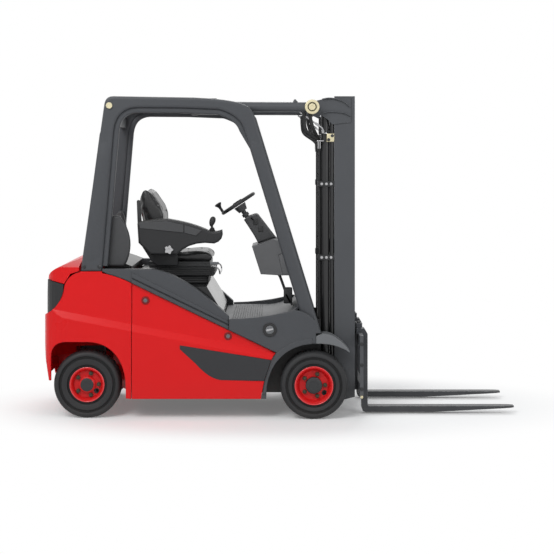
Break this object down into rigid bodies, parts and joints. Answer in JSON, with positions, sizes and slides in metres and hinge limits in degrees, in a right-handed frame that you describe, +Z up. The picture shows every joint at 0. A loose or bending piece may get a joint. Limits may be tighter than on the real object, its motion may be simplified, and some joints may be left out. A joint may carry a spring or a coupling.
{
  "type": "counterbalance forklift truck",
  "caption": "Counterbalance forklift truck with overhead guard, overhead tilt cylinders, two-stage mast, fork carriage, hinged seat hood and steered rear wheels.",
  "frame": {"origin": "on the floor, at the middle of the truck's overall length and width", "axes": "+X forward over the forks, +Y to the driver's left, +Z up"},
  "size_m": [3.2, 1.08, 2.165],
  "materials": {
    "red_paint": "gloss",
    "red_rim": "satin",
    "grey_body": "satin",
    "black_chassis": "satin",
    "black_plastic": "matte",
    "seat_metal": "satin",
    "seat_cover": "grained vinyl",
    "mast_paint": "satin",
    "cylinder_black": "satin",
    "hose_rubber": "matte",
    "chain_steel": "oiled",
    "chrome_rod": "polished",
    "bare_steel": "machined",
    "zinc": "yellow passivated",
    "fork_steel": "forged, black",
    "engine_iron": "cast",
    "insert_grey": "satin",
    "light_grey": "satin",
    "tyre": "solid rubber"
  },
  "bodies": {
    "chassis": {"frame": "black_chassis", "counterweight": "red_paint", "tail_cover": "red_paint", "rear_grille": "black_plastic", "side_panel_right": "red_paint", "side_panel_left": "red_paint", "side_inserts": "insert_grey", "front_fender_right": "grey_body", "front_fender_left": "grey_body", "fender_tips": "light_grey", "belt_rails": "grey_body", "floor_plate": "grey_body", "guard_frame": "grey_body", "guard_roof": "grey_body", "guard_pins": "zinc", "pillar_covers": "black_plastic", "engine_block": "engine_iron", "front_axle": "black_chassis", "rear_axle": "black_chassis", "steering_column": "black_plastic", "dash_panel": "grey_body", "pedals": "black_plastic", "body_caps": "black_plastic", "tow_pin": "bare_steel"},
    "hood": {"hood": "black_plastic", "seat_base": "seat_metal", "seat_cushion": "seat_cover", "seat_back": "seat_cover", "armrest": "black_plastic"},
    "mast_outer": {"mast_outer": "mast_paint", "mast_heads": "mast_paint", "tilt_pins": "zinc", "lift_barrels": "cylinder_black", "lift_glands": "zinc", "hose_clamps": "black_plastic", "mast_hoses": "hose_rubber", "tilt_hoses": "hose_rubber", "chains_rear": "chain_steel"},
    "mast_inner": {"mast_inner": "mast_paint", "lift_rods": "chrome_rod", "chain_pulleys": "bare_steel"},
    "carriage": {"carriage": "mast_paint", "chains_front": "chain_steel"},
    "fork_right": {"fork_right": "fork_steel"},
    "fork_left": {"fork_left": "fork_steel"},
    "tilt_barrel_right": {"tilt_barrel_right": "mast_paint"},
    "tilt_barrel_left": {"tilt_barrel_left": "mast_paint"},
    "tilt_rod_right": {"tilt_rod_right": "chrome_rod"},
    "tilt_rod_left": {"tilt_rod_left": "chrome_rod"},
    "front_wheel_right": {"front_tyre_right": "tyre", "front_rim_right": "red_rim"},
    "front_wheel_left": {"front_tyre_left": "tyre", "front_rim_left": "red_rim"},
    "knuckle_right": {"knuckle_right": "black_chassis"},
    "knuckle_left": {"knuckle_left": "black_chassis"},
    "rear_wheel_right": {"rear_tyre_right": "tyre", "rear_rim_right": "red_rim"},
    "rear_wheel_left": {"rear_tyre_left": "tyre", "rear_rim_left": "red_rim"},
    "steering_wheel": {"steering_wheel": "black_plastic"}
  },
  "joints": [
    {"name": "mast_tilt", "type": "hinge", "parent": "chassis", "child": "mast_outer", "pos_m": [0.332, 0, 0.226], "axis": [0, 1, 0], "range_deg": [-8, 5]},
    {"name": "mast_lift", "type": "slide", "parent": "mast_outer", "child": "mast_inner", "axis": [0, 0, 1], "range_m": [0, 1.5], "deforming": ["chains_rear"]},
    {"name": "carriage_lift", "type": "slide", "parent": "mast_inner", "child": "carriage", "axis": [0, 0, 1], "range_m": [0, 1.5], "deforming": ["chains_front"]},
    {"name": "fork_right_shift", "type": "slide", "parent": "carriage", "child": "fork_right", "axis": [0, -1, 0], "range_m": [0, 0.165]},
    {"name": "fork_left_shift", "type": "slide", "parent": "carriage", "child": "fork_left", "axis": [0, 1, 0], "range_m": [0, 0.165]},
    {"name": "tilt_barrel_right_pivot", "type": "hinge", "parent": "mast_outer", "child": "tilt_barrel_right", "pos_m": [0.219, -0.388, 2.09], "axis": [0, 1, 0], "range_deg": [-5.87, 9.27], "deforming": ["tilt_hoses"]},
    {"name": "tilt_rod_right_slide", "type": "slide", "parent": "tilt_barrel_right", "child": "tilt_rod_right", "axis": [-1, 0, 0.0044], "range_m": [-0.2606, 0.1636]},
    {"name": "tilt_barrel_left_pivot", "type": "hinge", "parent": "mast_outer", "child": "tilt_barrel_left", "pos_m": [0.219, 0.388, 2.09], "axis": [0, 1, 0], "range_deg": [-5.87, 9.27]},
    {"name": "tilt_rod_left_slide", "type": "slide", "parent": "tilt_barrel_left", "child": "tilt_rod_left", "axis": [-1, 0, 0.0044], "range_m": [-0.2606, 0.1636]},
    {"name": "front_wheel_right_spin", "type": "hinge", "parent": "chassis", "child": "front_wheel_right", "pos_m": [0.228, -0.4575, 0.225], "axis": [0, 1, 0], "continuous": true},
    {"name": "front_wheel_left_spin", "type": "hinge", "parent": "chassis", "child": "front_wheel_left", "pos_m": [0.228, 0.4575, 0.225], "axis": [0, 1, 0], "continuous": true},
    {"name": "steer_left", "type": "hinge", "parent": "chassis", "child": "knuckle_left", "pos_m": [-1.292, 0.345, 0.225], "axis": [0, 0, 1], "range_deg": [-70, 70]},
    {"name": "rear_wheel_left_spin", "type": "hinge", "parent": "knuckle_left", "child": "rear_wheel_left", "pos_m": [-1.292, 0.425, 0.225], "axis": [0, 1, 0], "continuous": true},
    {"name": "steer_right", "type": "hinge", "parent": "chassis", "child": "knuckle_right", "pos_m": [-1.292, -0.345, 0.225], "axis": [0, 0, 1], "range_deg": [-70, 70]},
    {"name": "rear_wheel_right_spin", "type": "hinge", "parent": "knuckle_right", "child": "rear_wheel_right", "pos_m": [-1.292, -0.425, 0.225], "axis": [0, 1, 0], "continuous": true},
    {"name": "steering_wheel_turn", "type": "hinge", "parent": "chassis", "child": "steering_wheel", "pos_m": [-0.292, 0, 1.423], "axis": [-0.5446, 0, 0.8387], "continuous": true},
    {"name": "hood_open", "type": "hinge", "parent": "chassis", "child": "hood", "pos_m": [-0.986, 0, 0.962], "axis": [0, -1, 0], "range_deg": [0, 50]}
  ],
  "couplings": [
    {"joint": "carriage_lift", "follows": "mast_lift", "ratio": 1},
    {"joint": "steer_right", "follows": "steer_left", "ratio": 1},
    {"joint": "tilt_barrel_right_pivot", "follows": "mast_tilt", "ratio": -1.134},
    {"joint": "tilt_rod_right_slide", "follows": "mast_tilt", "m_per_rad": 1.852},
    {"joint": "tilt_barrel_left_pivot", "follows": "mast_tilt", "ratio": -1.134},
    {"joint": "tilt_rod_left_slide", "follows": "mast_tilt", "m_per_rad": 1.852}
  ]
}
